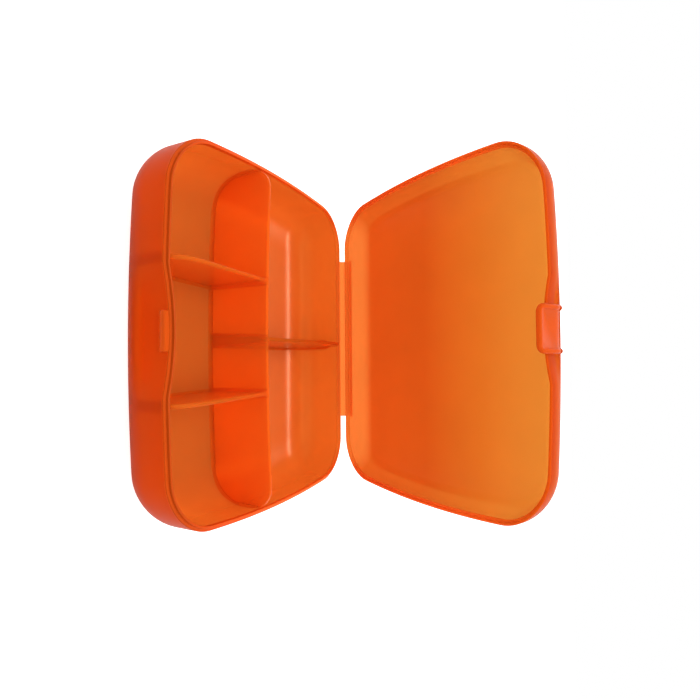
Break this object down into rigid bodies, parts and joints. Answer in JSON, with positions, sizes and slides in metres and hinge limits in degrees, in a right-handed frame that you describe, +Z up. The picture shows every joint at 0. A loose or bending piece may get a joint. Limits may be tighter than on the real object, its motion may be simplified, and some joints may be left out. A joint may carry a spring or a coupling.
{
  "type": "hinged compartment case",
  "caption": "Flat rounded plastic case with a film-hinged lid, inner dividers, a finger scoop and a snap latch.",
  "frame": {"origin": "middle of the flat face under the tray", "axes": "+Z up out of the open tray, +X along the hinge, +Y towards the hinge, latch at -Y"},
  "size_m": [0.121, 0.1085, 0.1177],
  "materials": {
    "tray_plastic": "translucent orange polypropylene, glossy inside and finely textured outside",
    "divider_plastic": "translucent orange polypropylene, glossy",
    "lid_plastic": "translucent orange polypropylene, satin",
    "latch_plastic": "translucent orange polypropylene, glossy",
    "hinge_film": "thin translucent orange polypropylene film"
  },
  "bodies": {
    "tray": {"tray_shell": "tray_plastic", "long_divider": "divider_plastic", "front_divider_left": "divider_plastic", "front_divider_right": "divider_plastic", "rear_divider": "divider_plastic", "catch_bar": "latch_plastic", "tray_hinge_leaf": "hinge_film"},
    "lid": {"lid_shell": "lid_plastic", "lid_hinge_leaf": "hinge_film"},
    "latch": {"latch_tab": "latch_plastic"}
  },
  "joints": [
    {"name": "lid_fold", "type": "hinge", "parent": "tray", "child": "lid", "pos_m": [0, 0.05311, 0.0248], "axis": [-1, 0, 0], "range_deg": [-59.27, 120.73]},
    {"name": "latch_flex", "type": "hinge", "parent": "lid", "child": "latch", "pos_m": [0, 0.00013, 0.11653], "axis": [-1, 0, 0], "range_deg": [0, 12], "stiffness_Nm_per_rad": 0.08}
  ]
}
